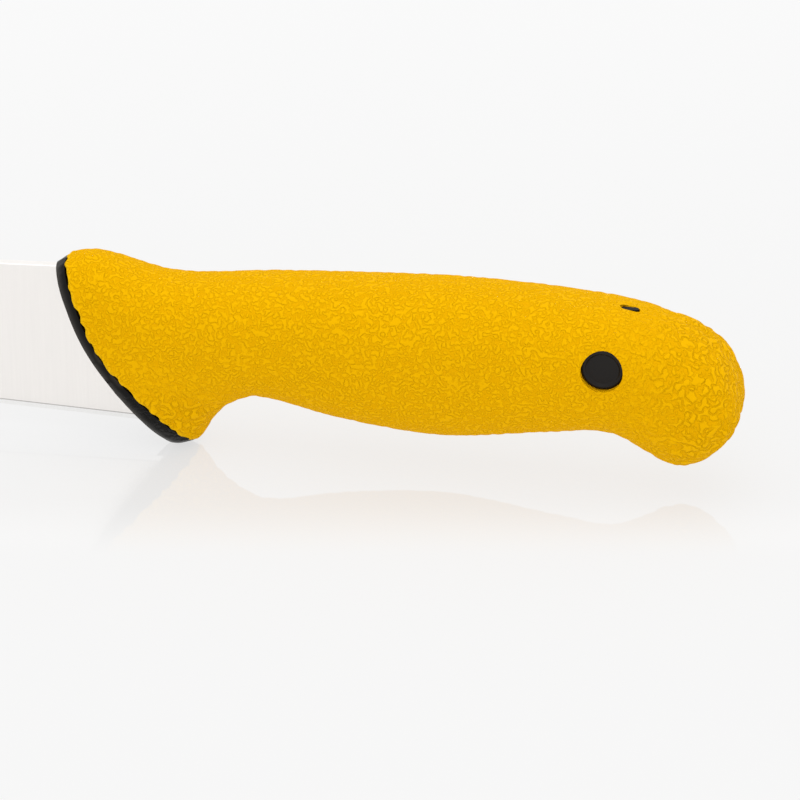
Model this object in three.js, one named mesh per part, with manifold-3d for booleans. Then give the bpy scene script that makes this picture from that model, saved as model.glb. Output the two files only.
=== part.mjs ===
// Butcher knife: a steel blade with a keyed tang, a hard black core moulded round the tang,
// a soft grained grip cover moulded over the core, and a button in each side of the butt.
// Millimetres. X runs from the blade's point (-X) to the butt (+X), Y across, +Z up.
// The knife stands as it is shown: spine up, the tip of the finger guard on the ground.
// Lengths are measured from where the spine meets the collar, heights from the guard tip.

import * as THREE from 'three';
import { mergeVertices } from 'three/addons/utils/BufferGeometryUtils.js';
import Module from 'manifold-3d';

const wasm = await Module();
wasm.setup();

// Blade
const bladeLength = 210;        // collar to point
const heelHeight = 34.5;        // spine to edge at the collar
const spineHeight = 40.1;       // spine above the guard tip at the collar
const spineDroop = 2.4;         // degrees, spine falls towards the point
const edgeRise = 1.7;           // degrees, edge rises towards the point
const pointLength = 84;         // stretch in which the edge curves up to the point
const pointSweep = 2.1;         // 1 is a straight run up to the point, more is rounder
const pointRound = 0.6;         // height left at the very point
const spineThickness = 2;
const edgeThickness = 0.5;      // behind the sharpened bevel
const bevelHeight = 1.2;        // sharpened bevel, edge to shoulder
const edgeLand = 0.16;          // width left at the very edge

// Tang
const rootDepth = 1.4;          // full-height blade inside the collar
const tangLap = 0.4;            // tang's front end inside the blade's root
const tangLength = 104;         // collar to the rear of the tang
const tangFrontHeight = 14;
const tangRearHeight = 10;
const tangFrontCentre = 25.4;   // height of the centre line
const tangRearCentre = 28.6;
const tangThickness = 2;
const keyHole = 5;              // holes that key the core to the tang
const keyHoleFirst = 42;        // first hole, from the collar
const keyHoleLast = 14;         // last hole, from the rear of the tang
const keyHoleCount = 3;

// Grip, upper outline
const gripLength = 143;         // collar to butt
const noseAhead = 5;            // start of the form, which the collar's front cuts off
const noseHeight = 36.6;
const humpHeight = 43.4;        // thumb rest
const humpAlong = 5.5;
const neckHeight = 39.5;
const neckAlong = 23.5;
const foreHeight = 41;          // above the finger recess
const middleHeight = 42.2;
const crownHeight = 43.1;
const tailHeight = 42.4;
const slopeHeight = 40.2;
const slopeBack = 20;           // from the butt
const shoulderHeight = 33.9;
const shoulderBack = 4.7;       // from the butt
const buttHeight = 18.6;

// Grip, lower outline
const noseFootAhead = 8.6;      // start of the form, ahead of the collar's foot
const noseFootHeight = -0.1;
const guardRear = 28.1;         // rear of the finger guard
const guardRise = 1.8;
const recessWall = 33.8;        // front wall of the finger recess
const recessWallHeight = 9.4;
const recessAlong = 42.5;
const recessHeight = 14.5;      // roof of the finger recess
const palmHeight = 11.1;
const palmShare = 0.29;         // between the recess and the tail
const bellyHeight = 9.3;
const bellyShare = 0.64;
const tailUnder = 12.3;
const tailBack = 39;            // from the butt
const gripLean = 1.5;           // upper outline behind the lower one, recess to tail
const waistHeight = 13.4;
const waistBack = 26;           // from the butt
const lobeHeight = 7.1;         // underside of the butt lobe
const lobeBack = 11.2;          // from the butt

// Grip, widths and section
const noseWidth = 17.2;
const guardWidth = 19.8;
const neckWidth = 21;
const foreWidth = 22.4;
const palmWidth = 24.2;
const bellyWidth = 26;
const tailWidth = 25.6;
const waistWidth = 25;
const lobeWidth = 24;
const sectionPower = 2.3;       // 2 is an ellipse, more is squarer
const upperBulge = 0.1;         // widest point lies above mid height

// Collar edges in side view: above the spine, at the spine, at mid height and at the guard
const collarFront = { crown: -1.4, top: 2.1, middle: 9.2, foot: 23.6 };
const collarRear = { crown: 0.9, top: 4.3, middle: 11.7, foot: 29.2 };
const collarTopHeight = 36;
const collarMidHeight = 21.6;

// Cover, buttons and window
const coverWall = 2.4;
const fitGap = 0.3;             // clearance between touching pieces
const eyeBack = 27.2;           // button centre, from the butt
const eyeHeight = 31.9;
const eyeDiameter = 8.6;
const eyeThickness = 2.6;
const eyeRim = 0.7;             // raised rim round the button's face
const eyeDish = 0.35;           // depth of the face below the rim
const eyeChamfer = 0.3;
const stemDiameter = 5;
const stemLength = 3.4;
const windowBack = 23.3;        // slot in the spine that shows the core, from the butt
const windowLength = 4.2;
const windowWidth = 1.9;
const windowDepth = 0.5;        // core pad below the cover's surface

// Mesh fineness
const bladeSteps = 34;
const stepCrowding = 1.3;       // blade sections crowd towards the point
const gripRings = 56;
const gripSides = 32;
const coreRings = 28;
const coreSides = 24;
const roundSides = 28;
const arcSteps = 10;
const weldDistance = 1e-4;
const ringCrowding = 1.7;       // rings crowd towards the round butt

// Blocks that cut the collar edges and the holes reach well past the grip
const blockMargin = 10;
const blockWidth = 2 * (bellyWidth + blockMargin);

const steel = new THREE.MeshStandardMaterial({ color: 0xdedbd6, roughness: 0.32, metalness: 1 });
const hardBlack = new THREE.MeshStandardMaterial({ color: 0x262321, roughness: 0.42, metalness: 0 });
const softYellow = new THREE.MeshStandardMaterial({ color: 0xe8ae05, roughness: 0.6, metalness: 0 });
const buttonBlack = new THREE.MeshStandardMaterial({ color: 0x2d2823, roughness: 0.38, metalness: 0 });

// A closed three.js geometry as a solid that can be joined and cut
function solid(geometry) {
  const bare = geometry.clone();
  bare.deleteAttribute('normal');
  bare.deleteAttribute('uv');
  const merged = mergeVertices(bare, weldDistance);
  const vertProperties = merged.attributes.position.array;
  const triVerts = new Uint32Array(merged.index.array);
  return new wasm.Manifold(new wasm.Mesh({ numProp: 3, vertProperties, triVerts }));
}

function namedMesh(name, body, material) {
  const { vertProperties, triVerts } = body.getMesh();
  const geometry = new THREE.BufferGeometry();
  geometry.setAttribute('position', new THREE.BufferAttribute(vertProperties, 3));
  geometry.setIndex(new THREE.BufferAttribute(triVerts, 1));
  geometry.computeVertexNormals();
  const mesh = new THREE.Mesh(geometry, material);
  mesh.name = name;
  return mesh;
}

// A closed skin over rings of equal count, with a fan over each end
function loft(rings) {
  const sides = rings[0].length;
  const points = rings.flat();
  const index = [];
  for (let ring = 0; ring < rings.length - 1; ring += 1) {
    for (let side = 0; side < sides; side += 1) {
      const a = ring * sides + side;
      const b = ring * sides + (side + 1) % sides;
      index.push(a, b, a + sides, b, b + sides, a + sides);
    }
  }
  const ends = [[0, false], [rings.length - 1, true]];
  for (const [ring, rear] of ends) {
    const centre = new THREE.Vector3();
    rings[ring].forEach((point) => centre.addScaledVector(point, 1 / sides));
    const hub = points.push(centre) - 1;
    for (let side = 0; side < sides; side += 1) {
      const a = ring * sides + side;
      const b = ring * sides + (side + 1) % sides;
      index.push(...(rear ? [a, b, hub] : [b, a, hub]));
    }
  }
  const geometry = new THREE.BufferGeometry().setFromPoints(points);
  geometry.setIndex(index);
  return geometry;
}

// A side-view outline made into a plate that is centred on the knife's middle plane
function plate(shape, thickness) {
  const options = { depth: thickness, bevelEnabled: false, curveSegments: arcSteps };
  return new THREE.ExtrudeGeometry(shape, options)
    .translate(0, 0, -thickness / 2)
    .rotateX(Math.PI / 2);
}

// Height along a line that starts at a known height and slopes by some degrees
function onLine(start, degrees, along) {
  return start + along * Math.tan(THREE.MathUtils.degToRad(degrees));
}

// Blade sections from the point to inside the collar: flat ground from spine to edge,
// with a sharpened bevel at the edge, all grown by a clearance
function bladeRings(grow) {
  const rearEnd = collarFront.foot + 2 * rootDepth;
  const grind = (spineThickness - edgeThickness) / 2 / heelHeight;
  const rings = [];
  for (let step = 0; step <= bladeSteps; step += 1) {
    const along = THREE.MathUtils.lerp(-bladeLength, rearEnd, (step / bladeSteps) ** stepCrowding);
    const spine = onLine(spineHeight, spineDroop, along);
    const straight = onLine(spineHeight - heelHeight, -edgeRise, along);
    const curl = Math.max(0, 1 - (along + bladeLength) / pointLength);
    const edge = straight + (spine - pointRound - straight) * curl ** pointSweep;
    const shoulder = edge + Math.min(bevelHeight * (1 + curl), (spine - edge) / 2);
    const halfAt = (height) => edgeThickness / 2 + (height - straight) * grind + grow;
    const section = [
      [halfAt(spine), spine + grow],
      [-halfAt(spine), spine + grow],
      [-halfAt(shoulder), shoulder],
      [-edgeLand / 2 - grow, edge - grow],
      [edgeLand / 2 + grow, edge - grow],
      [halfAt(shoulder), shoulder],
    ];
    rings.push(section.map(([y, z]) => new THREE.Vector3(along, y, z)));
  }
  return rings;
}

// Tapered bar with a round rear end and the holes that the core fills
function tangShape(grow) {
  const front = collarFront.top;
  const rear = tangLength - tangRearHeight / 2;
  const frontHalf = tangFrontHeight / 2 + grow;
  const rearHalf = tangRearHeight / 2 + grow;
  const shape = new THREE.Shape();
  shape.moveTo(front, tangFrontCentre - frontHalf);
  shape.lineTo(rear, tangRearCentre - rearHalf);
  shape.absarc(rear, tangRearCentre, rearHalf, -Math.PI / 2, Math.PI / 2, false);
  shape.lineTo(front, tangFrontCentre + frontHalf);
  shape.closePath();
  const pitch = (tangLength - keyHoleLast - keyHoleFirst) / (keyHoleCount - 1);
  for (let hole = 0; hole < keyHoleCount; hole += 1) {
    const along = keyHoleFirst + hole * pitch;
    const share = (along - front) / (rear - front);
    const centre = THREE.MathUtils.lerp(tangFrontCentre, tangRearCentre, share);
    const path = new THREE.Path();
    path.absarc(along, centre, keyHole / 2 - grow, 0, 2 * Math.PI, true);
    shape.holes.push(path);
  }
  return shape;
}

// Everything behind a collar edge, as a block whose front follows the edge
function behind(edge, shift) {
  const high = crownHeight + blockMargin;
  const low = -blockMargin;
  const rear = gripLength + blockMargin;
  const shape = new THREE.Shape();
  shape.moveTo(rear, low);
  shape.lineTo(rear, high);
  shape.lineTo(edge.crown + shift, high);
  shape.lineTo(edge.crown + shift, humpHeight);
  shape.splineThru([
    new THREE.Vector2(edge.top + shift, collarTopHeight),
    new THREE.Vector2(edge.middle + shift, collarMidHeight),
    new THREE.Vector2(edge.foot + shift, guardRise),
    new THREE.Vector2(edge.foot + shift + blockMargin, low),
  ]);
  shape.closePath();
  return solid(plate(shape, blockWidth));
}

// Blade and tang, with the root of the blade held a little way inside the collar
function bladeBody(grow) {
  const rootEnd = behind(collarFront, rootDepth + grow);
  const tangFront = behind(collarFront, rootDepth - tangLap - grow);
  const ground = solid(loft(bladeRings(grow))).subtract(rootEnd);
  const tang = solid(plate(tangShape(grow), tangThickness + 2 * grow)).intersect(tangFront);
  return ground.add(tang);
}

// Matching points of the grip's upper and lower outlines, with its width there
function gripStations() {
  const tailAlong = gripLength - tailBack;
  const palmAlong = THREE.MathUtils.lerp(recessAlong, tailAlong, palmShare);
  const bellyAlong = THREE.MathUtils.lerp(recessAlong, tailAlong, bellyShare);
  const noseFoot = collarFront.foot - noseFootAhead;
  return [
    { top: [-noseAhead, noseHeight], bottom: [noseFoot, noseFootHeight], width: noseWidth },
    { top: [humpAlong, humpHeight], bottom: [guardRear, guardRise], width: guardWidth },
    { top: [neckAlong, neckHeight], bottom: [recessWall, recessWallHeight], width: neckWidth },
    { top: [recessAlong + gripLean, foreHeight], bottom: [recessAlong, recessHeight], width: foreWidth },
    { top: [palmAlong + gripLean, middleHeight], bottom: [palmAlong, palmHeight], width: palmWidth },
    { top: [bellyAlong + gripLean, crownHeight], bottom: [bellyAlong, bellyHeight], width: bellyWidth },
    { top: [tailAlong + gripLean, tailHeight], bottom: [tailAlong, tailUnder], width: tailWidth },
    {
      top: [gripLength - slopeBack, slopeHeight],
      bottom: [gripLength - waistBack, waistHeight],
      width: waistWidth,
    },
    {
      top: [gripLength - shoulderBack, shoulderHeight],
      bottom: [gripLength - lobeBack, lobeHeight],
      width: lobeWidth,
    },
  ];
}

// Grip form between its two outlines, drawn in by an inset all round
function gripBody(inset, rings, sides) {
  const stations = gripStations();
  const upper = [];
  const lower = [];
  for (const { top, bottom } of stations) {
    const high = new THREE.Vector2(...top);
    const low = new THREE.Vector2(...bottom);
    const inward = low.clone().sub(high).setLength(inset);
    upper.push(high.add(inward));
    lower.push(low.sub(inward));
  }
  const butt = new THREE.Vector2(gripLength - inset, buttHeight);
  const outline = new THREE.SplineCurve([...upper, butt, ...lower.reverse()]);
  const halves = stations.map(({ width }, i) => new THREE.Vector2(i, width / 2 - inset));
  const halfWidth = new THREE.SplineCurve(halves);
  const lastStation = (stations.length - 1) / stations.length;
  const sections = [];
  for (let ring = 0; ring < rings; ring += 1) {
    const share = 1 - (1 - ring / rings) ** ringCrowding;
    const high = outline.getPoint(share / 2);
    const low = outline.getPoint(1 - share / 2);
    const closing = Math.max(0, (share - lastStation) / (1 - lastStation));
    const half = halfWidth.getPoint(Math.min(1, share / lastStation)).y;
    sections.push(gripSection(high, low, half * Math.sqrt(1 - closing ** 2), sides));
  }
  return solid(loft(sections));
}

// One rounded-square section, fuller above its middle than below
function gripSection(high, low, half, sides) {
  const power = 2 / sectionPower;
  const rounded = (value) => Math.sign(value) * Math.abs(value) ** power;
  const section = [];
  for (let side = 0; side < sides; side += 1) {
    const angle = (-2 * Math.PI * side) / sides;
    const rise = rounded(Math.cos(angle));
    const out = rounded(Math.sin(angle)) * (1 + upperBulge * rise);
    const point = low.clone().lerp(high, (rise + 1) / 2);
    section.push(new THREE.Vector3(point.x, half * out, point.y));
  }
  return section;
}

// A round bar at the button's place, from one distance off the middle plane to another
function eyeBar(diameter, from, to) {
  const length = Math.abs(to - from);
  const bar = new THREE.CylinderGeometry(diameter / 2, diameter / 2, length, roundSides);
  return solid(bar.translate(gripLength - eyeBack, (from + to) / 2, eyeHeight));
}

// An upright bar with round ends at the window's place, between two heights
function windowBar(grow, from, to) {
  const radius = windowWidth / 2 + grow;
  const half = (windowLength - windowWidth) / 2;
  const shape = new THREE.Shape();
  shape.absarc(half, 0, radius, -Math.PI / 2, Math.PI / 2, false);
  shape.absarc(-half, 0, radius, Math.PI / 2, 1.5 * Math.PI, false);
  const options = { depth: to - from, bevelEnabled: false, curveSegments: arcSteps };
  const bar = new THREE.ExtrudeGeometry(shape, options);
  return solid(bar.translate(gripLength - windowBack, 0, from));
}

const outerForm = gripBody(0, gripRings, gripSides);
const cavityForm = gripBody(coverWall, coreRings, coreSides);
const coreForm = gripBody(coverWall + fitGap, coreRings, coreSides);

// The buttons sit flush with the side of the grip, the window's pad just under its back
const eyeFace = outerForm.intersect(eyeBar(fitGap, 0, blockWidth)).boundingBox().max[1];
const eyeShoulder = eyeFace - eyeThickness;
const windowRim = outerForm.intersect(windowBar(0, eyeHeight, crownHeight)).boundingBox().max[2];

function coreBody() {
  const inFront = behind(collarFront, 0);
  const collar = outerForm.intersect(inFront).subtract(behind(collarRear, 0));
  const pad = windowBar(-fitGap, eyeHeight, windowRim - windowDepth);
  let body = collar.add(coreForm.intersect(inFront)).add(pad).subtract(bladeBody(fitGap));
  const shoulder = eyeShoulder - fitGap;
  for (const side of [-1, 1]) {
    const stemSeat = eyeBar(stemDiameter + 2 * fitGap, side * (shoulder - stemLength), side * blockWidth);
    const headSeat = eyeBar(eyeDiameter + 2 * fitGap, side * shoulder, side * blockWidth);
    body = body.subtract(stemSeat).subtract(headSeat);
  }
  return body;
}

function coverBody() {
  const eyeHole = eyeBar(eyeDiameter + 2 * fitGap, -blockWidth, blockWidth);
  const slot = windowBar(0, eyeHeight, crownHeight + blockMargin);
  return outerForm.intersect(behind(collarRear, fitGap))
    .subtract(cavityForm)
    .subtract(eyeHole)
    .subtract(slot);
}

// Button: a dished face inside a raised rim, on a stem that seats in the core
function eyePlugBody() {
  const rim = eyeDiameter / 2;
  const profile = [
    [0, eyeShoulder - stemLength],
    [stemDiameter / 2, eyeShoulder - stemLength],
    [stemDiameter / 2, eyeShoulder],
    [rim, eyeShoulder],
    [rim, eyeFace - eyeChamfer],
    [rim - eyeChamfer, eyeFace],
    [rim - eyeRim, eyeFace],
    [rim - eyeRim - eyeDish, eyeFace - eyeDish],
    [0, eyeFace - eyeDish],
  ];
  const points = profile.map(([radius, out]) => new THREE.Vector2(radius, out));
  return solid(new THREE.LatheGeometry(points, roundSides));
}

const knife = new THREE.Group();
knife.add(namedMesh('blade', bladeBody(0), steel));
knife.add(namedMesh('core', coreBody(), hardBlack));
knife.add(namedMesh('grip_cover', coverBody(), softYellow));
for (const [name, turn] of [['eye_plug_left', Math.PI], ['eye_plug_right', 0]]) {
  const plug = namedMesh(name, eyePlugBody(), buttonBlack);
  plug.position.set(gripLength - eyeBack, 0, eyeHeight);
  plug.rotation.x = turn;
  knife.add(plug);
}

// The origin lies under the middle of the knife, with the guard tip on the ground
const box = new THREE.Box3().setFromObject(knife, true);
const centre = box.getCenter(new THREE.Vector3());
knife.position.set(-centre.x, -centre.y, -box.min.z);

export default knife;
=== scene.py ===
"""Butcher knife: ground steel blade, satin black collar, grained yellow grip and two buttons.

The script dresses the knife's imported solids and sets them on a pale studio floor.
It is laid out as an add-on: one operator for each group of like pieces and one for the stage.
"""

import math

import bmesh
import bpy
import numpy as np
from bpy.props import FloatProperty, FloatVectorProperty, IntProperty, PointerProperty
from mathutils import Matrix, Vector
from mathutils.bvhtree import BVHTree


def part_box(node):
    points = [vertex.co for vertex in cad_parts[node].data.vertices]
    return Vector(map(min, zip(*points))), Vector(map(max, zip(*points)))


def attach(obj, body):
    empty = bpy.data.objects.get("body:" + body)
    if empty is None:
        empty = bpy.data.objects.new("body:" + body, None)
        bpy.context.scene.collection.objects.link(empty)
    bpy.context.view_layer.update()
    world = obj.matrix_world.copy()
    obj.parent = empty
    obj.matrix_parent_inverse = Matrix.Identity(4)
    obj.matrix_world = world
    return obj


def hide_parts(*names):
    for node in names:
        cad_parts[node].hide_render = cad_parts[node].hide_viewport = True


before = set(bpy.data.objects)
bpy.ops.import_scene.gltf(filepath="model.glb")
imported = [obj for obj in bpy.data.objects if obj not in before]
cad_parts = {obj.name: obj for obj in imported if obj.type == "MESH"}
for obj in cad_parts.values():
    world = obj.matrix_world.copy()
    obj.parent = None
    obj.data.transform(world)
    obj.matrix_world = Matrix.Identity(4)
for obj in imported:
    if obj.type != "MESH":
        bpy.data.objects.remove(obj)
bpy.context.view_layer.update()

bl_info = {
    "name": "Butcher Knife",
    "version": (1, 0, 0),
    "blender": (4, 5, 0),
    "location": "View3D > Sidebar > Knife",
    "description": "Dresses the knife's solids and sets them on a pale studio floor",
    "category": "Object",
}

MM = 0.001
WELD = 1e-6

# Added to a length that may be nothing before it divides
TINY = 1e-30

# Most rounds in which a skin's edges are halved
SPLIT_ROUNDS = 6

# Share of the way to its neighbours that a point moves in each round of smoothing
SMOOTH_STEP = 0.5

# Faces of one skin meet at less than this, and a skin's rim is sharper
SKIN_ANGLE = math.radians(40)

# The solid's own shading and the marks for the work on it, which a finished mesh doesn't need
SPARE_ATTRIBUTES = ("custom_normal", "skin", "face_skin")

# Towards the butt, towards the knife's right side, and from the collar's rear edge to its front
ALONG = Vector((1, 0, 0))
ACROSS = Vector((0, 1, 0))
FORWARD = Vector((-0.85, 0, -0.53))


class BladeSettings(bpy.types.PropertyGroup):
    """Sizes and colours of the blade"""

    spine_round: FloatProperty(
        name="Spine round",
        description="Width of the eased edges along the spine",
        default=0.22 * MM,
        unit="LENGTH",
    )
    steel: FloatVectorProperty(
        name="Steel",
        description="Colour of the ground steel",
        subtype="COLOR",
        size=4,
        default=(0.99, 0.96, 0.93, 1),
    )
    # Painted shade: the darker line along the bend at the shoulder of the edge
    line: FloatVectorProperty(
        name="Line",
        description="Colour of the line along the shoulder of the edge",
        subtype="COLOR",
        size=4,
        default=(0.58, 0.56, 0.545, 1),
    )
    honed: FloatVectorProperty(
        name="Honed",
        description="Colour of the honed edge",
        subtype="COLOR",
        size=4,
        default=(1, 0.995, 0.985, 1),
    )
    roughness: FloatProperty(
        name="Roughness",
        description="How far the grinding blurs reflections",
        default=0.34,
        min=0,
        max=1,
        subtype="FACTOR",
    )
    shoulder_below: FloatProperty(
        name="Shoulder below",
        description="Height under which the shoulder of the edge lies",
        default=20 * MM,
        unit="LENGTH",
    )
    # The line is painted shade along the shoulder's bend
    line_width: FloatProperty(
        name="Line width",
        description="Width of the line that sharpening leaves along the shoulder",
        default=0.26 * MM,
        unit="LENGTH",
    )
    streak_pitch: FloatProperty(
        name="Streak pitch",
        description="Spacing of the grinding streaks along the blade",
        default=0.5 * MM,
        unit="LENGTH",
    )


class CollarSettings(bpy.types.PropertyGroup):
    """Sizes and colours of the hard core, of which the collar shows"""

    spot: FloatVectorProperty(
        name="Spot",
        description="A point beside the middle of the collar's left side",
        subtype="XYZ",
        unit="LENGTH",
        default=(43.8 * MM, -30 * MM, 19.5 * MM),
    )
    face_beside: FloatProperty(
        name="Face beside",
        description="Where the collar's front face is found beside the blade",
        default=-4.5 * MM,
        unit="LENGTH",
    )
    mesh_edge: FloatProperty(
        name="Mesh edge",
        description="Longest mesh edge on the collar's skin",
        default=0.34 * MM,
        unit="LENGTH",
    )
    front_round: FloatProperty(
        name="Front round",
        description="Radius of the collar's front edge",
        default=1.7 * MM,
        unit="LENGTH",
    )
    front_reach: FloatProperty(
        name="Front reach",
        description="How far the front edge runs on over the blade",
        default=0.4 * MM,
        unit="LENGTH",
    )
    grain_reach: FloatProperty(
        name="Grain reach",
        description="How far the grain runs on to the collar from the grip",
        default=2.6 * MM,
        unit="LENGTH",
    )
    grain_depth: FloatProperty(
        name="Grain depth",
        description="Depth of the grain beside the grip",
        default=0.12 * MM,
        unit="LENGTH",
    )
    grain_pitch: FloatProperty(
        name="Grain pitch",
        description="Size of the grain beside the grip",
        default=1.4 * MM,
        unit="LENGTH",
    )
    # Painted highlight: the lighter colour laid along the rounded front edge
    front: FloatVectorProperty(
        name="Front",
        description="Colour that the rounded front edge catches",
        subtype="COLOR",
        size=4,
        default=(0.05, 0.045, 0.039, 1),
    )
    black: FloatVectorProperty(
        name="Black",
        description="Colour of the hard plastic",
        subtype="COLOR",
        size=4,
        default=(0.005, 0.0045, 0.004, 1),
    )
    roughness: FloatProperty(
        name="Roughness",
        description="Roughness of the smooth band",
        default=0.36,
        min=0,
        max=1,
        subtype="FACTOR",
    )


class GripSettings(bpy.types.PropertyGroup):
    """Sizes and colours of the soft cover"""

    mesh_edge: FloatProperty(
        name="Mesh edge",
        description="Longest mesh edge on the grained skin",
        default=0.7 * MM,
        unit="LENGTH",
    )
    fairing: IntProperty(
        name="Fairing",
        description="Rounds of smoothing that take out the solid's facets",
        default=40,
        min=0,
    )
    grain_pitch: FloatProperty(
        name="Grain pitch",
        description="Wave length of the grain on the sides",
        default=2.3 * MM,
        unit="LENGTH",
    )
    coarse_pitch: FloatProperty(
        name="Coarse pitch",
        description="Wave length of the grain at the guard and the butt",
        default=3.3 * MM,
        unit="LENGTH",
    )
    swell: FloatProperty(
        name="Swell",
        description="How far the skin rises and falls with the grain",
        default=0.14 * MM,
        unit="LENGTH",
    )
    crease_pitch: FloatProperty(
        name="Crease pitch",
        description="Size of the moulded grain on the sides",
        default=1.05 * MM,
        unit="LENGTH",
    )
    crease_depth: FloatProperty(
        name="Crease depth",
        description="Depth of the creases between the grains",
        default=0.22 * MM,
        unit="LENGTH",
    )
    lip_height: FloatProperty(
        name="Lip height",
        description="How far the cover stands proud along the collar",
        default=0.25 * MM,
        unit="LENGTH",
    )
    lip_round: FloatProperty(
        name="Lip round",
        description="Radius of the cover's front edge",
        default=0.6 * MM,
        unit="LENGTH",
    )
    lip_reach: FloatProperty(
        name="Lip reach",
        description="Where the proud edge has died away",
        default=3.5 * MM,
        unit="LENGTH",
    )
    lip_wave: FloatProperty(
        name="Lip wave",
        description="How far the front edge wanders",
        default=0.34 * MM,
        unit="LENGTH",
    )
    wave_pitch: FloatProperty(
        name="Wave pitch",
        description="Wave length of the front edge's wander",
        default=2.6 * MM,
        unit="LENGTH",
    )
    window_draw: FloatProperty(
        name="Window draw",
        description="How far the cover closes in on the buttons",
        default=0.26 * MM,
        unit="LENGTH",
    )
    yellow: FloatVectorProperty(
        name="Yellow",
        description="Colour of the raised grain",
        subtype="COLOR",
        size=4,
        default=(0.895, 0.475, 0.0002, 1),
    )
    # Painted highlight along the proud front edge
    lip_highlight: FloatVectorProperty(
        name="Lip",
        description="Colour that the proud front edge catches",
        subtype="COLOR",
        size=4,
        default=(1, 0.62, 0.01, 1),
    )
    # Painted shade in the creases
    shade: FloatVectorProperty(
        name="Shade",
        description="Colour in the creases",
        subtype="COLOR",
        size=4,
        default=(0.7, 0.297, 0.0002, 1),
    )
    roughness: FloatProperty(
        name="Roughness",
        description="Roughness of the raised grain",
        default=0.65,
        min=0,
        max=1,
        subtype="FACTOR",
    )


class ButtonSettings(bpy.types.PropertyGroup):
    """Sizes and colours of the two buttons"""

    rim: FloatProperty(
        name="Rim",
        description="Width of the raised rim",
        default=0.55 * MM,
        unit="LENGTH",
    )
    dish: FloatProperty(
        name="Dish",
        description="Depth of the face below the rim",
        default=0.5 * MM,
        unit="LENGTH",
    )
    shoulder: FloatProperty(
        name="Shoulder",
        description="Thickness of the head",
        default=2 * MM,
        unit="LENGTH",
    )
    sink: FloatProperty(
        name="Sink",
        description="How far the rim sits below the fullest part of the cover",
        default=1.3 * MM,
        unit="LENGTH",
    )
    stem: FloatProperty(
        name="Stem",
        description="Diameter of the stem that seats in the core",
        default=5 * MM,
        unit="LENGTH",
    )
    ease: FloatProperty(
        name="Ease",
        description="Width of the eased edges",
        default=0.16 * MM,
        unit="LENGTH",
    )
    steps: IntProperty(
        name="Steps",
        description="Steps of the spin",
        default=72,
        min=12,
    )
    charcoal: FloatVectorProperty(
        name="Charcoal",
        description="Colour of the button",
        subtype="COLOR",
        size=4,
        default=(0.007, 0.0055, 0.0045, 1),
    )


class StageSettings(bpy.types.PropertyGroup):
    """Floor, light and camera"""

    floor: FloatVectorProperty(
        name="Floor",
        description="Colour of the floor",
        subtype="COLOR",
        size=4,
        default=(0.16, 0.16, 0.16, 1),
    )
    floor_glow: FloatProperty(
        name="Floor glow",
        description="Even light of the floor, as of a light table",
        default=0.665,
        min=0,
    )
    glow_rise: FloatProperty(
        name="Glow rise",
        description="Light that makes up for the mirroring where it has faded",
        default=0.09,
        min=0,
    )
    mirror_full: FloatProperty(
        name="Mirror full",
        description="Where the floor's mirroring starts to fade, left of the knife",
        default=34 * MM,
        unit="LENGTH",
    )
    mirror_end: FloatProperty(
        name="Mirror end",
        description="Where the floor's mirroring has faded out, left of the knife",
        default=60 * MM,
        unit="LENGTH",
    )
    floor_size: FloatProperty(
        name="Floor size",
        description="Side of the square floor",
        default=8,
        unit="LENGTH",
    )
    fill: FloatProperty(
        name="Fill",
        description="Strength of the even light from all round",
        default=0.92,
        min=0,
    )
    key_power: FloatProperty(
        name="Key power",
        description="Power of the soft light above",
        default=6,
        unit="POWER",
    )
    key_size: FloatProperty(
        name="Key size",
        description="Side of the soft light above",
        default=1.6,
        unit="LENGTH",
    )
    key_height: FloatProperty(
        name="Key height",
        description="Height of the soft light",
        default=1.5,
        unit="LENGTH",
    )
    target: FloatVectorProperty(
        name="Target",
        description="Point in the middle of the picture",
        subtype="XYZ",
        unit="LENGTH",
        default=(105.37 * MM, 0, 14.2 * MM),
    )
    distance: FloatProperty(
        name="Distance",
        description="Camera to target",
        default=1,
        unit="LENGTH",
    )
    elevation: FloatProperty(
        name="Elevation",
        description="Camera above the horizon",
        default=math.radians(28),
        subtype="ANGLE",
    )
    azimuth: FloatProperty(
        name="Azimuth",
        description="Camera round towards the butt",
        default=math.radians(10.5),
        subtype="ANGLE",
    )
    lens: FloatProperty(
        name="Lens",
        description="Focal length on a 36 mm sensor, in millimetres",
        default=216.45,
    )


# Meshes


def node_copy(name):
    """A bmesh of a solid with its loose triangles merged and a layer that marks its skin."""
    bm = bmesh.new()
    bm.from_mesh(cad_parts[name].data)
    bmesh.ops.remove_doubles(bm, verts=bm.verts, dist=WELD)
    return bm, bm.faces.layers.int.new("skin")


def mark_skin(seed, skin):
    """Marks the faces that join on to a seed face without crossing a sharp edge."""
    seed[skin] = 1
    waiting = [seed]
    while waiting:
        for edge in waiting.pop().edges:
            if edge.calc_face_angle() < SKIN_ANGLE:
                for face in edge.link_faces:
                    if not face[skin]:
                        face[skin] = 1
                        waiting.append(face)


def refine(bm, skin, longest):
    """Halves a skin's edges until none is longer than the longest allowed."""
    for _ in range(SPLIT_ROUNDS):
        edges = [
            edge
            for edge in bm.edges
            if edge.calc_length() > longest and any(f[skin] for f in edge.link_faces)
        ]
        if not edges:
            break
        bmesh.ops.subdivide_edges(bm, edges=edges, cuts=1)
        faces = [face for face in bm.faces if len(face.verts) > 3]
        bmesh.ops.triangulate(bm, faces=faces, quad_method="SHORT_EDGE", ngon_method="EAR_CLIP")
    bmesh.ops.dissolve_degenerate(bm, dist=WELD, edges=bm.edges)
    bm.verts.index_update()


def skin_parts(bm, skin):
    """The skin's own vertices, and those of its rims."""
    inner, rim = [], []
    for vert in bm.verts:
        marks = [face[skin] for face in vert.link_faces]
        if all(marks):
            inner.append(vert)
        elif any(marks):
            rim.append(vert)
    return inner, rim


def places(verts):
    return np.array([vert.co for vert in verts])


def put(verts, points):
    for vert, point in zip(verts, points):
        vert.co = point


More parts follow.
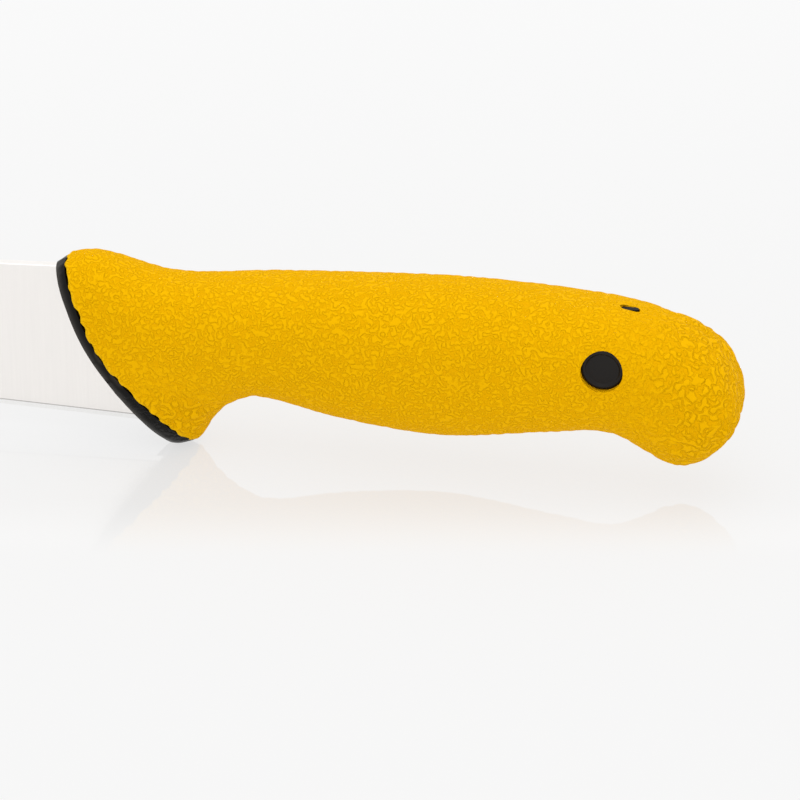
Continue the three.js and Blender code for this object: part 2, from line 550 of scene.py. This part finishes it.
def spread(edges, values, free, rounds):
    """Evens values out along edges at the free vertices."""
    pairs = np.array([[vert.index for vert in edge.verts] for edge in edges])
    ends = np.concatenate([pairs[:, 0], pairs[:, 1]])
    others = np.concatenate([pairs[:, 1], pairs[:, 0]])
    count = np.maximum(np.bincount(ends, minlength=len(values)), 1)[:, None]
    share = np.zeros((len(values), 1))
    share[[vert.index for vert in free]] = SMOOTH_STEP
    for _ in range(rounds):
        sums = [np.bincount(ends, values[others, axis], len(values)) for axis in range(3)]
        values = values + share * (np.stack(sums, axis=1) / count - values)
    return values


def fair(bm, inner, rounds):
    """Takes the facets out of a skin. What the smoothing drew in is smoothed and added back."""
    start = places(bm.verts)
    once = spread(bm.edges, start, inner, rounds)
    put(bm.verts, once + spread(bm.edges, start - once, inner, rounds))
    bm.normal_update()


def fair_rim(bm, skin, rim, rounds):
    """Takes the kinks out of a skin's rims."""
    edges = [edge for edge in bm.edges if sum(face[skin] for face in edge.link_faces) == 1]
    put(bm.verts, spread(edges, places(bm.verts), rim, rounds))


def skin_directions(bm, skin, verts, rounds=12):
    """Outward directions of a skin at its vertices and rims, from its own faces only."""
    total = np.zeros((len(bm.verts), 3))
    for face in bm.faces:
        if face[skin]:
            push = face.normal * face.calc_area()
            for vert in face.verts:
                total[vert.index] += push
    total /= np.linalg.norm(total, axis=1)[:, None] + TINY
    total = spread(bm.edges, total, verts, rounds)[[vert.index for vert in verts]]
    return total / np.linalg.norm(total, axis=1)[:, None]


def wandering_waves(points, pitch, seed, count=48):
    """Sum of like waves in random directions, whose zero lines wander as leather creases do."""
    chance = np.random.default_rng(seed)
    directions = chance.normal(size=(count, 3))
    directions /= np.linalg.norm(directions, axis=1)[:, None]
    starts = chance.uniform(0, 2 * math.pi, count)
    total = np.zeros(len(points))
    for direction, start in zip(directions, starts):
        total += np.cos(points @ direction * (2 * math.pi / pitch) + start)
    return total * math.sqrt(2 / count)


def distance_to(points, targets):
    nearest = np.full(len(points), np.inf)
    for target in targets:
        np.minimum(nearest, ((points - target) ** 2).sum(axis=1), out=nearest)
    return np.sqrt(nearest)


def ramp(values, low, high):
    """0 below low, 1 above high and an even curve between them."""
    share = np.clip((values - low) / (high - low), 0, 1)
    return share * share * (3 - 2 * share)


def grain_layers(bm):
    """Where the nearness of the front edge, which places the painted highlights, and the share of
    coarse grain are kept.
    """
    return bm.verts.layers.float.new("front"), bm.verts.layers.float.new("coarse")


def keep_grain(verts, layers, nears, shares):
    for vert, near, share in zip(verts, nears, shares):
        vert[layers[0]] = near
        vert[layers[1]] = share


def ease(bm, edges, width, segments):
    """Bevels edges and returns the new faces."""
    cut = bmesh.ops.bevel(
        bm,
        geom=edges,
        offset=width,
        affect="EDGES",
        segments=segments,
        profile=0.5,
        material=-1,
    )
    return cut["faces"]


def make_piece(bm, name, nodes, materials, crease=SKIN_ANGLE):
    """Makes an object of a bmesh that stands for solids and rides with the knife."""
    bmesh.ops.triangulate(bm, faces=[face for face in bm.faces if len(face.verts) > 4])
    mesh = bpy.data.meshes.new(name)
    bm.to_mesh(mesh)
    bm.free()
    for spare in SPARE_ATTRIBUTES:
        if spare in mesh.attributes:
            mesh.attributes.remove(mesh.attributes[spare])
    mesh.shade_smooth()
    mesh.set_sharp_from_angle(angle=crease)
    for material in materials:
        mesh.materials.append(material)
    piece = bpy.data.objects.new(name, mesh)
    bpy.context.scene.collection.objects.link(piece)
    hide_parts(*nodes)
    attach(piece, "root")
    return piece


# Materials


def new_material(name):
    material = bpy.data.materials.new(name)
    material.use_nodes = True
    return material, material.node_tree, material.node_tree.nodes["Principled BSDF"]


def add(tree, kind, values=None, **settings):
    """A node with its settings, and its inputs joined to sockets or set to values."""
    node = tree.nodes.new(kind)
    for key, value in settings.items():
        setattr(node, key, value)
    for key, value in (values or {}).items():
        if isinstance(value, bpy.types.NodeSocket):
            tree.links.new(value, node.inputs[key])
        else:
            node.inputs[key].default_value = value
    return node


def calc(tree, operation, *values):
    node = add(tree, "ShaderNodeMath", dict(enumerate(values)), operation=operation)
    return node.outputs["Value"]


def mix(tree, factor, first, second):
    """A mix of two colours."""
    node = tree.nodes.new("ShaderNodeMix")
    node.data_type = "RGBA"
    sockets = [s for s in node.inputs if s.type == "RGBA"]
    for socket, value in zip([node.inputs[0], *sockets], (factor, first, second)):
        if isinstance(value, bpy.types.NodeSocket):
            tree.links.new(value, socket)
        else:
            socket.default_value = value
    return next(s for s in node.outputs if s.type == "RGBA")


def between(tree, factor, low, high):
    """A value from low at 0 to high at 1."""
    node = add(tree, "ShaderNodeMapRange", {"Value": factor, "To Min": low, "To Max": high})
    return node.outputs["Result"]


def smooth_ramp(tree, value, low, high):
    """0 below low, 1 above high and an even curve between them."""
    values = {"Value": value, "From Min": low, "From Max": high}
    node = add(tree, "ShaderNodeMapRange", values, interpolation_type="SMOOTHSTEP")
    return node.outputs["Result"]


def times(colour, share):
    """A colour made lighter or darker."""
    return [channel * share for channel in colour[:3]] + [1]


def new_group(name, scale, *results):
    """An empty node group with a place, a scale and results, and its two end nodes."""
    group = bpy.data.node_groups.new(name, "ShaderNodeTree")
    group.interface.new_socket("Vector", in_out="INPUT", socket_type="NodeSocketVector")
    group.interface.new_socket(scale, in_out="INPUT", socket_type="NodeSocketFloat")
    for result in results:
        group.interface.new_socket(result, in_out="OUTPUT", socket_type="NodeSocketFloat")
    return group, group.nodes.new("NodeGroupInput"), group.nodes.new("NodeGroupOutput")


def place_group(tree, group, values):
    """Places a node group on a material by the piece's own coordinates."""
    place = add(tree, "ShaderNodeTexCoord").outputs["Object"]
    return add(tree, "ShaderNodeGroup", {"Vector": place, **values}, node_tree=group)


def fine_skin_group():
    """Fine pitting of a moulded skin, and the slow change of its tone."""
    group = bpy.data.node_groups.get("fine_skin")
    if group:
        return group
    group, enter, leave = new_group("fine_skin", "Pits", "Height", "Tone")
    tone_share = 0.04
    vector = enter.outputs["Vector"]
    per_metre = enter.outputs["Pits"]
    slow = calc(group, "MULTIPLY", per_metre, tone_share)
    pits = add(group, "ShaderNodeTexNoise", {"Vector": vector, "Scale": per_metre, "Detail": 2.0})
    tone = add(group, "ShaderNodeTexNoise", {"Vector": vector, "Scale": slow, "Detail": 3.0})
    group.links.new(pits.outputs[0], leave.inputs["Height"])
    group.links.new(tone.outputs[0], leave.inputs["Tone"])
    return group


def fine_skin(tree, per_metre):
    """Height and tone of the fine skin, with so many pits to a metre."""
    node = place_group(tree, fine_skin_group(), {"Pits": per_metre})
    return node.outputs["Height"], node.outputs["Tone"]


def bump(tree, height, depth, strength, normal=None):
    values = {"Height": height, "Distance": depth, "Strength": strength}
    if normal:
        values["Normal"] = normal
    return add(tree, "ShaderNodeBump", values).outputs["Normal"]


def leather_group():
    """Short wandering creases between raised grains: their height, and 1 in the creases."""
    group = bpy.data.node_groups.get("leather")
    if group:
        return group
    group, enter, leave = new_group("leather", "Scale", "Height", "Crease")
    # Creases run where the noise is at its middle, as wide as this much of it to each side
    middle = 0.5
    crease_half = 0.13
    crown = 1.4
    placing = {"Vector": enter.outputs["Vector"], "Scale": enter.outputs["Scale"]}
    lines = add(group, "ShaderNodeTexNoise", {**placing, "Detail": 1.0, "Roughness": 0.4})
    away = calc(group, "ABSOLUTE", calc(group, "SUBTRACT", lines.outputs[0], middle))
    plateau = smooth_ramp(group, away, 0.0, crease_half)
    crease = calc(group, "SUBTRACT", 1.0, plateau)
    rounded = calc(group, "MULTIPLY_ADD", away, crown, plateau)
    group.links.new(rounded, leave.inputs["Height"])
    group.links.new(crease, leave.inputs["Crease"])
    return group


def leather(tree, pitch):
    """Height and creases of the leather grain, of a size."""
    node = place_group(tree, leather_group(), {"Scale": 1 / pitch})
    return node.outputs["Height"], node.outputs["Crease"]


def blend(tree, factor, first, second):
    """A mix of two values."""
    node = add(tree, "ShaderNodeMix", {"Factor": factor, "A": first, "B": second})
    return node.outputs["Result"]


def attribute(tree, name):
    return add(tree, "ShaderNodeAttribute", attribute_name=name).outputs["Fac"]


def yellow_material(look):
    """Soft yellow leather grain, which is wider and deeper at the guard and the butt."""
    wide_pitch = 1.45 * look.crease_pitch
    wide_deeper = 0.9
    crease_shade = 0.3
    crease_dull = 0.2
    highlight_share = 0.5
    tone_light = 1.05
    tone_dull = 0.06
    pit_depth = 0.03 * MM
    material, tree, shader = new_material("grained_yellow")
    coarse = attribute(tree, "coarse")
    fine_height, fine_crease = leather(tree, look.crease_pitch)
    wide_height, wide_crease = leather(tree, wide_pitch)
    height = blend(tree, coarse, fine_height, wide_height)
    crease = blend(tree, coarse, fine_crease, wide_crease)
    pits, tone = fine_skin(tree, per_metre=1500)
    ground = mix(tree, tone, list(look.yellow), times(look.yellow, tone_light))
    # Painted shade darkens the creases
    shaded = calc(tree, "MULTIPLY", crease, crease_shade)
    colour = mix(tree, shaded, ground, list(look.shade))
    # Painted highlight: a lighter colour along the proud front edge
    lit = calc(tree, "MULTIPLY", attribute(tree, "front"), highlight_share)
    tree.links.new(mix(tree, lit, colour, list(look.lip_highlight)), shader.inputs["Base Color"])
    rough = between(tree, tone, look.roughness - tone_dull, look.roughness + tone_dull)
    rough = calc(tree, "MULTIPLY_ADD", crease, crease_dull, rough)
    tree.links.new(rough, shader.inputs["Roughness"])
    deeper = calc(tree, "MULTIPLY_ADD", coarse, wide_deeper, 1.0)
    deep = calc(tree, "MULTIPLY", height, deeper)
    normal = bump(tree, deep, look.crease_depth, strength=0.7)
    normal = bump(tree, pits, pit_depth, strength=0.3, normal=normal)
    tree.links.new(normal, shader.inputs["Normal"])
    shader.inputs["Specular IOR Level"].default_value = 0.02
    return material


def black_material(look):
    """Satin black plastic, with grain beside the grip and a painted highlight along the rounded
    front edge.
    """
    crease_dull = 0.25
    tone_light = 1.5
    tone_dull = 0.05
    pit_depth = 0.02 * MM
    material, tree, shader = new_material("satin_black")
    share = attribute(tree, "coarse")
    height, crease = leather(tree, look.grain_pitch)
    pits, tone = fine_skin(tree, per_metre=2200)
    ground = mix(tree, tone, list(look.black), times(look.black, tone_light))
    # Painted highlight: the colour turns lighter towards the rounded front edge
    front_highlit = mix(tree, attribute(tree, "front"), ground, list(look.front))
    tree.links.new(front_highlit, shader.inputs["Base Color"])
    rough = between(tree, tone, look.roughness - tone_dull, look.roughness + tone_dull)
    creased = calc(tree, "MULTIPLY", crease, share)
    rough = calc(tree, "MULTIPLY_ADD", creased, crease_dull, rough)
    tree.links.new(rough, shader.inputs["Roughness"])
    normal = bump(tree, calc(tree, "MULTIPLY", height, share), look.grain_depth, strength=0.8)
    normal = bump(tree, pits, pit_depth, strength=0.2, normal=normal)
    tree.links.new(normal, shader.inputs["Normal"])
    shader.inputs["Specular IOR Level"].default_value = 0.1
    return material


def button_material(look):
    """Smooth charcoal plastic with a fine skin."""
    tone_light = 1.6
    least_rough, most_rough = 0.24, 0.36
    pit_depth = 0.02 * MM
    material, tree, shader = new_material("charcoal_button")
    pits, tone = fine_skin(tree, per_metre=2600)
    ground = mix(tree, tone, list(look.charcoal), times(look.charcoal, tone_light))
    tree.links.new(ground, shader.inputs["Base Color"])
    tree.links.new(between(tree, tone, least_rough, most_rough), shader.inputs["Roughness"])
    tree.links.new(bump(tree, pits, pit_depth, strength=0.25), shader.inputs["Normal"])
    shader.inputs["Specular IOR Level"].default_value = 0.2
    return material


def steel_material(name, colour, roughness, streak_pitch):
    """Steel ground across the blade: fine upright streaks and a slow change of tone."""
    per_metre = (1 / streak_pitch, 300, 60)
    streak_dark = 0.94
    streak_depth = 0.004 * MM
    least_rough, most_rough = 0.8 * roughness, 1.15 * roughness
    cloud_rough = 0.04
    material, tree, shader = new_material(name)
    place = add(tree, "ShaderNodeTexCoord").outputs["Object"]
    stretch = add(tree, "ShaderNodeMapping", {"Vector": place, "Scale": per_metre})
    stretched = {"Vector": stretch.outputs["Vector"], "Scale": 1.0, "Detail": 4.0}
    streaks = add(tree, "ShaderNodeTexNoise", stretched).outputs[0]
    slow = {"Vector": place, "Scale": 22.0, "Detail": 2.0}
    cloud = add(tree, "ShaderNodeTexNoise", slow).outputs[0]
    streaked = mix(tree, streaks, times(colour, streak_dark), list(colour))
    tree.links.new(streaked, shader.inputs["Base Color"])
    rough = calc(
        tree,
        "ADD",
        between(tree, streaks, least_rough, most_rough),
        between(tree, cloud, -cloud_rough, cloud_rough),
    )
    tree.links.new(rough, shader.inputs["Roughness"])
    normal = bump(tree, streaks, streak_depth, strength=0.4)
    tree.links.new(normal, shader.inputs["Normal"])
    shader.inputs["Metallic"].default_value = 1
    return material


# Operators


class KNIFE_OT_blade(bpy.types.Operator):
    """Make the ground steel blade with its eased spine"""

    bl_idname = "knife.blade"
    bl_label = "Blade"

    # Faces that meet at less than this are one flat, and flats that meet at more are shaded apart
    FLAT_ANGLE = math.radians(0.3)
    SHADE_ANGLE = math.radians(4)

    # How much of a face's normal points to the side or up, or down on the honed edge, at least
    SQUARE = 0.9
    HONED_DIP = 0.12

    # Least and most bend at the shoulder of the edge
    SHOULDER_LEAST = math.radians(3)
    SHOULDER_MOST = math.radians(20)

    def execute(self, context):
        look = context.scene.knife_blade
        bm, _ = node_copy("blade")
        bmesh.ops.dissolve_limit(
            bm,
            angle_limit=self.FLAT_ANGLE,
            verts=bm.verts,
            edges=bm.edges,
        )
        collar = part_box("core")[0].x
        spine = [
            edge
            for edge in bm.edges
            if max(abs(face.normal.y) for face in edge.link_faces) > self.SQUARE
            and max(face.normal.z for face in edge.link_faces) > self.SQUARE
            and min(vert.co.x for vert in edge.verts) < collar
        ]
        if not spine:
            raise RuntimeError("the blade has no edges along its spine")
        ease(bm, spine, look.spine_round, segments=3)
        self.score(bm, collar, look)
        materials = [
            steel_material("ground_steel", look.steel, look.roughness, look.streak_pitch),
            steel_material("shoulder_shade_line", look.line, look.roughness, look.streak_pitch),
            steel_material("honed_edge", look.honed, look.roughness / 2, look.streak_pitch),
        ]
        make_piece(bm, "ground_blade", ["blade"], materials, self.SHADE_ANGLE)
        return {"FINISHED"}

    def score(self, bm, collar, look):
        """Cuts a fine strip along the shoulder of the edge, where a darker colour paints the shade
        at its bend.
        """
        shoulder = []
        for edge in bm.edges:
            bent = self.SHOULDER_LEAST < edge.calc_face_angle(0) < self.SHOULDER_MOST
            low = max(vert.co.z for vert in edge.verts) < look.shoulder_below
            ahead = min(vert.co.x for vert in edge.verts) < collar
            sides = min(abs(face.normal.y) for face in edge.link_faces) > self.SQUARE
            if bent and low and ahead and sides:
                shoulder.append(edge)
        if not shoulder:
            raise RuntimeError("the blade has no shoulder above its edge")
        line = ease(bm, shoulder, look.line_width / 2, segments=1)
        for face in bm.faces:
            if abs(face.normal.y) > self.SQUARE and face.normal.z < -self.HONED_DIP:
                face.material_index = 2
        # Painted shade: the strip along the shoulder takes the darker colour
        for face in line:
            face.material_index = 1


class KNIFE_OT_collar(bpy.types.Operator):
    """Make the hard black core, whose collar shows between the blade and the grip"""

    bl_idname = "knife.collar"
    bl_label = "Core and Collar"

    # Rounds of smoothing on the skin and its rims, and on the front face, which follows its rim
    SKIN_ROUNDS = 20
    FACE_ROUNDS = 200

    # Share of its radius by which the front edge drops, in full this far off the middle plane
    DROP = 0.35
    FULL_ROUND = 5 * MM

    # The grain is full over this share of its reach, and dies away between these heights
    FULL_GRAIN = 0.4
    GRAIN_LOW = 10 * MM
    GRAIN_HIGH = 20 * MM

    def execute(self, context):
        look = context.scene.knife_collar
        bm, skin = node_copy("core")
        face_skin = bm.faces.layers.int.new("face_skin")
        layers = grain_layers(bm)
        side = Vector(look.spot)
        self.find(bm, skin, side, ACROSS)
        for beside in (look.face_beside, -look.face_beside):
            self.find(bm, face_skin, Vector((0, beside, side.z)), ALONG)
        refine(bm, skin, look.mesh_edge)
        before = places(bm.verts)
        inner, rim = skin_parts(bm, skin)
        fair_rim(bm, skin, rim, self.SKIN_ROUNDS)
        fair(bm, inner, self.SKIN_ROUNDS)
        ups = skin_directions(bm, skin, inner + rim)
        self.shape(skin, inner, rim, ups, look, layers)
        face_inner, _ = skin_parts(bm, face_skin)
        moves = spread(bm.edges, places(bm.verts) - before, face_inner, self.FACE_ROUNDS)
        put(bm.verts, before + moves)
        make_piece(bm, "black_core", ["core"], [black_material(look)])
        return {"FINISHED"}

    def find(self, bm, skin, start, direction):
        """Marks the skin that a ray meets first."""
        found = BVHTree.FromBMesh(bm).ray_cast(start, direction)[2]
        if found is None:
            raise RuntimeError("the collar was not found")
        bm.faces.ensure_lookup_table()
        mark_skin(bm.faces[found], skin)

    def shape(self, skin, inner, rim, ups, look, layers):
        """Rounds the collar's front edge and grains it along the grip."""
        front, rear = [], []
        for vert in rim:
            beyond = [face.normal * face.calc_area() for face in vert.link_faces if not face[skin]]
            looks_ahead = sum(beyond, Vector()).dot(FORWARD) > 0
            (front if looks_ahead else rear).append(vert)
        verts = inner + rim
        points = places(verts)
        radius = look.front_round * ramp(np.abs(points[:, 1]), 0, self.FULL_ROUND)
        away = distance_to(points, places(front)) / look.front_round
        near = np.clip(1 - away, 0, 1) ** 2
        drop = self.DROP * radius * near
        from_grip = distance_to(points, places(rear))
        share = ramp(from_grip, look.grain_reach, self.FULL_GRAIN * look.grain_reach)
        share = share * ramp(points[:, 2], self.GRAIN_HIGH, self.GRAIN_LOW)
        put(verts, points - ups * drop[:, None] + np.outer(look.front_reach * near, FORWARD))
        # The nearness to the front edge places the painted highlight there
        keep_grain(verts, layers, near, share)


class KNIFE_OT_grip(bpy.types.Operator):
    """Make the soft cover with its moulded grain and its proud front edge"""

    bl_idname = "knife.grip"
    bl_label = "Grip Cover"

    # The guard's middle behind the cover's front and above the floor
    GUARD_BACK = 24 * MM
    GUARD_HEIGHT = 2 * MM

    # The coarse grain is full this near to the guard's middle or to the butt, and then dies away
    GUARD_FULL = 12 * MM
    GUARD_END = 26 * MM
    BUTT_FULL = 8 * MM
    BUTT_END = 34 * MM

    # Share of the swell in the fine grain, and what the coarse grain adds
    FINE_SWELL = 0.6
    COARSE_SWELL = 0.8

    # Seeds of the fine grain, the coarse grain and the wandering front edge
    FINE_SEED = 3
    COARSE_SEED = 5
    EDGE_SEED = 9

    # How far from the front edge its wander reaches, and where the painted highlight along it lies
    WANDER_REACH = 1.2 * MM
    LIT_REACH = 0.9 * MM
    LIT_FULL = 0.2 * MM

    # In shares of a button's radius: where the cover closes in on it in full and no more, from
    # the button's axis, and how far off the knife's middle plane the cover's sides begin
    DRAW_FULL = 1.07
    DRAW_END = 1.35
    SIDE_SHARE = 0.5

    def execute(self, context):
        look = context.scene.knife_grip
        bm, skin = node_copy("grip_cover")
        layers = grain_layers(bm)
        rearmost = max(bm.faces, key=lambda face: face.calc_center_median().x)
        mark_skin(rearmost, skin)
        refine(bm, skin, look.mesh_edge)
        inner, rim = skin_parts(bm, skin)
        fair(bm, inner, look.fairing)
        ups = skin_directions(bm, skin, inner + rim)
        self.grain(inner, rim, ups, look, layers)
        make_piece(bm, "yellow_grip", ["grip_cover"], [yellow_material(look)])
        return {"FINISHED"}

    def grain(self, inner, rim, ups, look, layers):
        """Presses the creases into the skin and raises its edge along the collar."""
        low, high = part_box("grip_cover")
        middle = (low.x + high.x) / 2
        front = [vert for vert in rim if vert.co.x < middle]
        verts = inner + rim
        points = places(verts)

        guard = np.array([low.x + self.GUARD_BACK, 0, self.GUARD_HEIGHT])
        from_guard = np.linalg.norm(points - guard, axis=1)
        near_guard = ramp(from_guard, self.GUARD_END, self.GUARD_FULL)
        near_butt = ramp(points[:, 0], high.x - self.BUTT_END, high.x - self.BUTT_FULL)
        coarse = np.maximum(near_guard, near_butt)
        turn = coarse * math.pi / 2
        fine_waves = wandering_waves(points, look.grain_pitch, self.FINE_SEED)
        coarse_waves = wandering_waves(points, look.coarse_pitch, self.COARSE_SEED)
        waves = fine_waves * np.cos(turn) + coarse_waves * np.sin(turn)

        edge = distance_to(points, places(front))
        rise = np.sqrt(1 - (1 - np.clip(edge / look.lip_round, 0, 1)) ** 2)
        rise *= look.lip_height * ramp(edge, look.lip_reach, 0)
        inside = np.ones(len(verts))
        inside[len(inner):] = 0
        swell = look.swell * (self.FINE_SWELL + self.COARSE_SWELL * coarse)
        swell = swell * np.tanh(waves) * inside
        wander = look.lip_wave * np.tanh(wandering_waves(points, look.wave_pitch, self.EDGE_SEED))
        wander *= ramp(edge, self.WANDER_REACH, 0)
        moved = points + ups * (rise * inside + swell)[:, None] + np.outer(wander, FORWARD)
        put(verts, moved + self.close_in(points, look))
        keep_grain(verts, layers, ramp(edge, self.LIT_REACH, self.LIT_FULL), coarse)

    def close_in(self, points, look):
        """Draws the cover in round the buttons, where it closes on to them."""
        low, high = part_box("eye_plug_left")
        axis = (low + high) / 2
        radius = (high.x - low.x) / 2
        across = points - np.array([axis.x, 0, axis.z])
        across[:, 1] = 0
        out = np.linalg.norm(across, axis=1)
        share = ramp(out, self.DRAW_END * radius, self.DRAW_FULL * radius)
        share = share * (np.abs(points[:, 1]) > self.SIDE_SHARE * radius)
        return -across / (out[:, None] + TINY) * (look.window_draw * share)[:, None]


class KNIFE_OT_buttons(bpy.types.Operator):
    """Make the button on each side of the butt"""

    bl_idname = "knife.buttons"
    bl_label = "Buttons"

    # Share of the dish's depth that is left in the middle of the face, which is a little crowned
    CROWN = 0.8

    # Edges sharper than this are eased
    EASE_ANGLE = math.radians(30)

    def execute(self, context):
        look = context.scene.knife_button
        material = button_material(look)
        for side, out in (("left", -1), ("right", 1)):
            node = f"eye_plug_{side}"
            bm = self.spun(node, out, look)
            make_piece(bm, f"button_{side}", [node], [material])
        return {"FINISHED"}

    def spun(self, node, out, look):
        """Spins the button's outline about its axis, which runs across the knife."""
        low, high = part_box(node)
        centre = (low + high) / 2
        radius = (high.x - low.x) / 2
        face, end = (low.y, high.y) if out < 0 else (high.y, low.y)
        face -= out * look.sink
        inside = radius - look.rim
        outline = (
            (0, end),
            (look.stem / 2, end),
            (look.stem / 2, face - out * look.shoulder),
            (radius, face - out * look.shoulder),
            (radius, face),
            (inside, face),
            (inside - look.dish, face - out * look.dish),
            (0, face - out * self.CROWN * look.dish),
        )
        bm = bmesh.new()
        verts = [bm.verts.new((centre.x + r, y, centre.z)) for r, y in outline]
        edges = [bm.edges.new(pair) for pair in zip(verts, verts[1:])]
        bmesh.ops.spin(
            bm,
            geom=verts + edges,
            cent=centre,
            axis=ACROSS,
            angle=2 * math.pi,
            steps=look.steps,
            use_merge=True,
        )
        bmesh.ops.remove_doubles(bm, verts=bm.verts, dist=WELD)
        bmesh.ops.recalc_face_normals(bm, faces=bm.faces)
        sharp = [e for e in bm.edges if e.is_manifold and e.calc_face_angle() > self.EASE_ANGLE]
        ease(bm, sharp, look.ease, segments=3)
        return bm


class KNIFE_OT_stage(bpy.types.Operator):
    """Set the pale floor, the soft light and the camera"""

    bl_idname = "knife.stage"
    bl_label = "Stage"

    # Strength and blur of the floor's mirroring
    MIRROR = 0.5
    MIRROR_BLUR = 0.02

    # The soft light stands this far on the camera's side of the target, in metres
    KEY_NEARER = 0.2

    def execute(self, context):
        look = context.scene.knife_stage
        self.floor(context.scene, look)
        self.light(context.scene, look)
        self.camera(context.scene, look)
        context.scene.view_settings.view_transform = "Standard"
        return {"FINISHED"}

    def floor(self, scene, look):
        bm = bmesh.new()
        bmesh.ops.create_grid(bm, x_segments=1, y_segments=1, size=look.floor_size / 2)
        mesh = bpy.data.meshes.new("floor")
        bm.to_mesh(mesh)
        bm.free()
        mesh.materials.append(self.floor_material(look))
        floor = bpy.data.objects.new("floor", mesh)
        scene.collection.objects.link(floor)

    def floor_material(self, look):
        """A pale floor that mirrors what stands on it, and fades to plain on the knife's left."""
        material, tree, shader = new_material("pale_floor")
        shader.inputs["Base Color"].default_value = look.floor
        shader.inputs["Roughness"].default_value = self.MIRROR_BLUR
        shader.inputs["Emission Color"].default_value = (1, 1, 1, 1)
        place = add(tree, "ShaderNodeTexCoord").outputs["Object"]
        fade_way = (math.sin(look.azimuth), -math.cos(look.azimuth), 0)
        along = add(
            tree,
            "ShaderNodeVectorMath",
            {0: place, 1: fade_way},
            operation="DOT_PRODUCT",
        ).outputs["Value"]
        fade = smooth_ramp(tree, along, look.mirror_full, look.mirror_end)
        mirror = between(tree, fade, self.MIRROR, 0.0)
        tree.links.new(mirror, shader.inputs["Specular IOR Level"])
        glow = between(tree, fade, look.floor_glow, look.floor_glow + look.glow_rise)
        tree.links.new(glow, shader.inputs["Emission Strength"])
        return material

    def light(self, scene, look):
        """An even white surround, and one large soft light above."""
        world = bpy.data.worlds.new("white_surround")
        world.use_nodes = True
        tree = world.node_tree
        path = tree.nodes.new("ShaderNodeLightPath")
        seen = calc(tree, "MAXIMUM", path.outputs["Is Camera Ray"], path.outputs["Is Glossy Ray"])
        seen = calc(tree, "MAXIMUM", seen, path.outputs["Is Transmission Ray"])
        strength = between(tree, seen, look.fill, 1.0)
        tree.nodes["Background"].inputs["Color"].default_value = (1, 1, 1, 1)
        tree.links.new(strength, tree.nodes["Background"].inputs["Strength"])
        scene.world = world
        lamp = bpy.data.lights.new("soft_key", "AREA")
        lamp.energy = look.key_power
        lamp.size = look.key_size
        key = bpy.data.objects.new("soft_key", lamp)
        key.location = look.target[0], look.target[1] - self.KEY_NEARER, look.key_height
        scene.collection.objects.link(key)

    def camera(self, scene, look):
        across = math.cos(look.elevation)
        aim = Vector(
            (
                -math.sin(look.azimuth) * across,
                math.cos(look.azimuth) * across,
                -math.sin(look.elevation),
            )
        )
        data = bpy.data.cameras.new("camera")
        data.lens = look.lens
        camera = bpy.data.objects.new("camera", data)
        turned = aim.to_track_quat("-Z", "Y").to_matrix().to_4x4()
        place = Vector(look.target) - aim * look.distance
        camera.matrix_world = Matrix.Translation(place) @ turned
        scene.collection.objects.link(camera)
        scene.camera = camera


class KNIFE_PT_pieces(bpy.types.Panel):
    """Lists the knife's pieces and their settings"""

    bl_idname = "KNIFE_PT_pieces"
    bl_label = "Butcher Knife"
    bl_space_type = "VIEW_3D"
    bl_region_type = "UI"
    bl_category = "Knife"

    def draw(self, context):
        for operator, settings in PIECES:
            box = self.layout.box()
            box.operator(operator.bl_idname)
            group = getattr(context.scene, settings)
            for name in group.__annotations__:
                box.prop(group, name)


PIECES = (
    (KNIFE_OT_blade, "knife_blade"),
    (KNIFE_OT_collar, "knife_collar"),
    (KNIFE_OT_grip, "knife_grip"),
    (KNIFE_OT_buttons, "knife_button"),
    (KNIFE_OT_stage, "knife_stage"),
)

SETTINGS = {
    "knife_blade": BladeSettings,
    "knife_collar": CollarSettings,
    "knife_grip": GripSettings,
    "knife_button": ButtonSettings,
    "knife_stage": StageSettings,
}


def register():
    for name, group in SETTINGS.items():
        bpy.utils.register_class(group)
        setattr(bpy.types.Scene, name, PointerProperty(type=group))
    for operator, _ in PIECES:
        bpy.utils.register_class(operator)
    bpy.utils.register_class(KNIFE_PT_pieces)


def unregister():
    bpy.utils.unregister_class(KNIFE_PT_pieces)
    for operator, _ in reversed(PIECES):
        bpy.utils.unregister_class(operator)
    for name, group in SETTINGS.items():
        delattr(bpy.types.Scene, name)
        bpy.utils.unregister_class(group)


def main():
    register()
    bpy.ops.knife.blade()
    bpy.ops.knife.collar()
    bpy.ops.knife.grip()
    bpy.ops.knife.buttons()
    bpy.ops.knife.stage()


if __name__ == "__main__":
    main()
